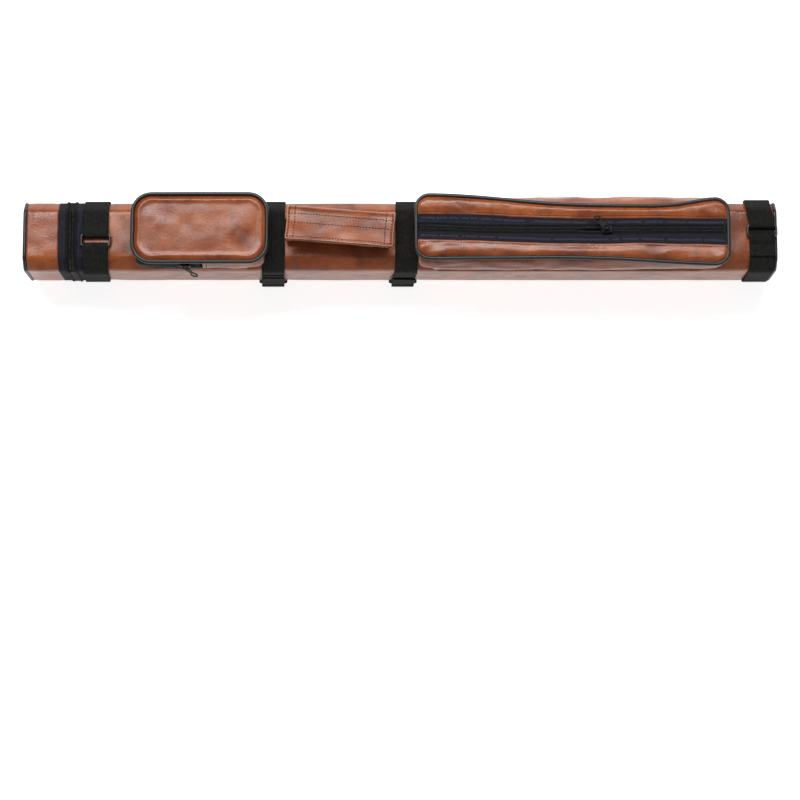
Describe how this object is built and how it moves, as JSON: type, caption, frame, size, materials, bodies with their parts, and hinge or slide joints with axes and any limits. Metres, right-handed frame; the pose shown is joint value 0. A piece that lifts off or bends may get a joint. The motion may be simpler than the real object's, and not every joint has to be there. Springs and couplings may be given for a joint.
{
  "type": "cue case",
  "caption": "Hard tubular cue case with zipped lid, two zipped pockets, webbing straps with rings, carry handle and shoulder strap.",
  "frame": {"origin": "on the surface the case lies on, under the middle of its length and width", "axes": "+X from the lid's end to the base's end, +Z from the back up to the pockets, -Y the side with the folded strap tails"},
  "size_m": [0.84, 0.0932, 0.1223],
  "materials": {
    "leatherette": "semi-gloss, pebble-grained, mottled brown",
    "webbing": "woven, matt black",
    "zip_tape": "woven, matt blue-black",
    "piping": "satin, charcoal",
    "board": "matt",
    "foam": "flocked foam",
    "liner": "flocked inside",
    "dark_metal": "polished gunmetal",
    "buckle_plastic": "satin dark grey"
  },
  "bodies": {
    "case": {"body_shell": "board", "body_cover": "leatherette", "base_end_panel": "leatherette", "base_piping": "piping", "butt_tube_upper": "liner", "butt_tube_lower": "liner", "shaft_tube_upper": "liner", "shaft_tube_lower": "liner", "mouth_collar": "board", "foam_core_mouth": "foam", "foam_core_base": "foam", "lid_zip_tape_body": "zip_tape", "hinge_webbing_body": "webbing", "lid_band": "webbing", "lid_band_ring": "dark_metal", "base_band": "webbing", "base_band_ring": "dark_metal", "front_cinch": "webbing", "front_cinch_ring": "dark_metal", "rear_cinch": "webbing", "rear_cinch_ring": "dark_metal", "small_pocket_gusset": "leatherette", "small_zip_tape_lower": "zip_tape", "small_pocket_front": "leatherette", "small_piping_front": "piping", "long_pocket_gusset": "leatherette", "long_pocket_front": "leatherette", "long_pocket_piping": "piping", "long_zip_tape_closed": "zip_tape", "shoulder_strap": "webbing", "strap_ring": "dark_metal", "strap_ring_tab": "webbing"},
    "lid": {"lid_shell": "board", "lid_cover": "leatherette", "lid_piping": "piping", "lid_end_panel": "leatherette", "lid_pad": "foam", "lid_zip_tape_lid": "zip_tape", "hinge_webbing_lid": "webbing"},
    "lid_slider": {"lid_zip_slider": "dark_metal"},
    "lid_pull": {"lid_zip_pull": "dark_metal"},
    "small_flap": {"small_pocket_flap": "leatherette", "small_piping_flap": "piping", "small_zip_tape_upper": "zip_tape"},
    "small_slider": {"small_zip_slider": "dark_metal"},
    "small_pull": {"small_zip_pull": "dark_metal"},
    "long_upper": {"long_lip_upper": "leatherette", "long_zip_tape_upper": "zip_tape"},
    "long_lower": {"long_lip_lower": "leatherette", "long_zip_tape_lower": "zip_tape"},
    "long_slider": {"long_zip_slider": "dark_metal"},
    "long_pull": {"long_zip_pull": "dark_metal"},
    "handle": {"handle_grip": "leatherette", "handle_webbing": "webbing"},
    "grip_flap": {"handle_flap": "leatherette"},
    "lid_tail": {"lid_band_tail": "webbing"},
    "base_tail": {"base_band_tail": "webbing"},
    "front_tail": {"front_cinch_tail": "webbing"},
    "rear_tail": {"rear_cinch_tail": "webbing"},
    "triglide": {"strap_triglide": "buckle_plastic"}
  },
  "joints": [
    {"name": "lid_hinge", "type": "hinge", "parent": "case", "child": "lid", "pos_m": [-0.366, 0, 0.0072], "axis": [0, -1, 0], "range_deg": [0, 120]},
    {"name": "lid_zip_slide", "type": "slide", "parent": "case", "child": "lid_slider", "axis": [0, 0, 1], "range_m": [-0.01, 0.034]},
    {"name": "lid_pull_hinge", "type": "hinge", "parent": "lid_slider", "child": "lid_pull", "pos_m": [-0.366, 0.0423, 0.038], "axis": [1, 0, 0], "range_deg": [0, 150]},
    {"name": "small_flap_hinge", "type": "hinge", "parent": "case", "child": "small_flap", "pos_m": [-0.2195, 0, 0.1178], "axis": [0, 1, 0], "range_deg": [0, 100]},
    {"name": "small_zip_slide", "type": "slide", "parent": "case", "child": "small_slider", "axis": [1, 0, 0], "range_m": [-0.026, 0.008]},
    {"name": "small_pull_hinge", "type": "hinge", "parent": "small_slider", "child": "small_pull", "pos_m": [-0.237, -0.0412, 0.106], "axis": [-0.766, 0, -0.6428], "range_deg": [-22, 125]},
    {"name": "long_upper_hinge", "type": "hinge", "parent": "case", "child": "long_upper", "pos_m": [0.126, 0.032, 0.114], "axis": [1, 0, 0], "range_deg": [0, 30]},
    {"name": "long_lower_hinge", "type": "hinge", "parent": "case", "child": "long_lower", "pos_m": [0.126, -0.032, 0.114], "axis": [-1, 0, 0], "range_deg": [0, 30]},
    {"name": "long_zip_slide", "type": "slide", "parent": "case", "child": "long_slider", "axis": [1, 0, 0], "range_m": [-0.175, 0.105]},
    {"name": "long_pull_hinge", "type": "hinge", "parent": "long_slider", "child": "long_pull", "pos_m": [0.228, 0, 0.1203], "axis": [0.7071, 0.7071, 0], "range_deg": [0, 165]},
    {"name": "handle_lift", "type": "slide", "parent": "case", "child": "handle", "axis": [0, 0, 1], "range_m": [0, 0.01]},
    {"name": "handle_flap_hinge", "type": "hinge", "parent": "handle", "child": "grip_flap", "pos_m": [-0.06732, 0.01895, 0.1053], "axis": [-0.9969, 0.0785, 0], "range_deg": [-14, 110]},
    {"name": "lid_tail_peel", "type": "hinge", "parent": "case", "child": "lid_tail", "pos_m": [-0.3383, -0.0143, 0.0926], "axis": [-1, 0, 0], "range_deg": [0, 80]},
    {"name": "base_tail_peel", "type": "hinge", "parent": "case", "child": "base_tail", "pos_m": [0.4025, 0.0108, 0.0926], "axis": [1, 0, 0], "range_deg": [0, 80]},
    {"name": "front_tail_peel", "type": "hinge", "parent": "case", "child": "front_tail", "pos_m": [-0.1444, -0.0436, 0.02], "axis": [1, 0, 0], "range_deg": [0, 100]},
    {"name": "rear_tail_peel", "type": "hinge", "parent": "case", "child": "rear_tail", "pos_m": [0.003, -0.0436, 0.02], "axis": [1, 0, 0], "range_deg": [0, 100]},
    {"name": "triglide_slide", "type": "slide", "parent": "case", "child": "triglide", "axis": [1, 0, 0], "range_m": [0, 0.24]}
  ]
}
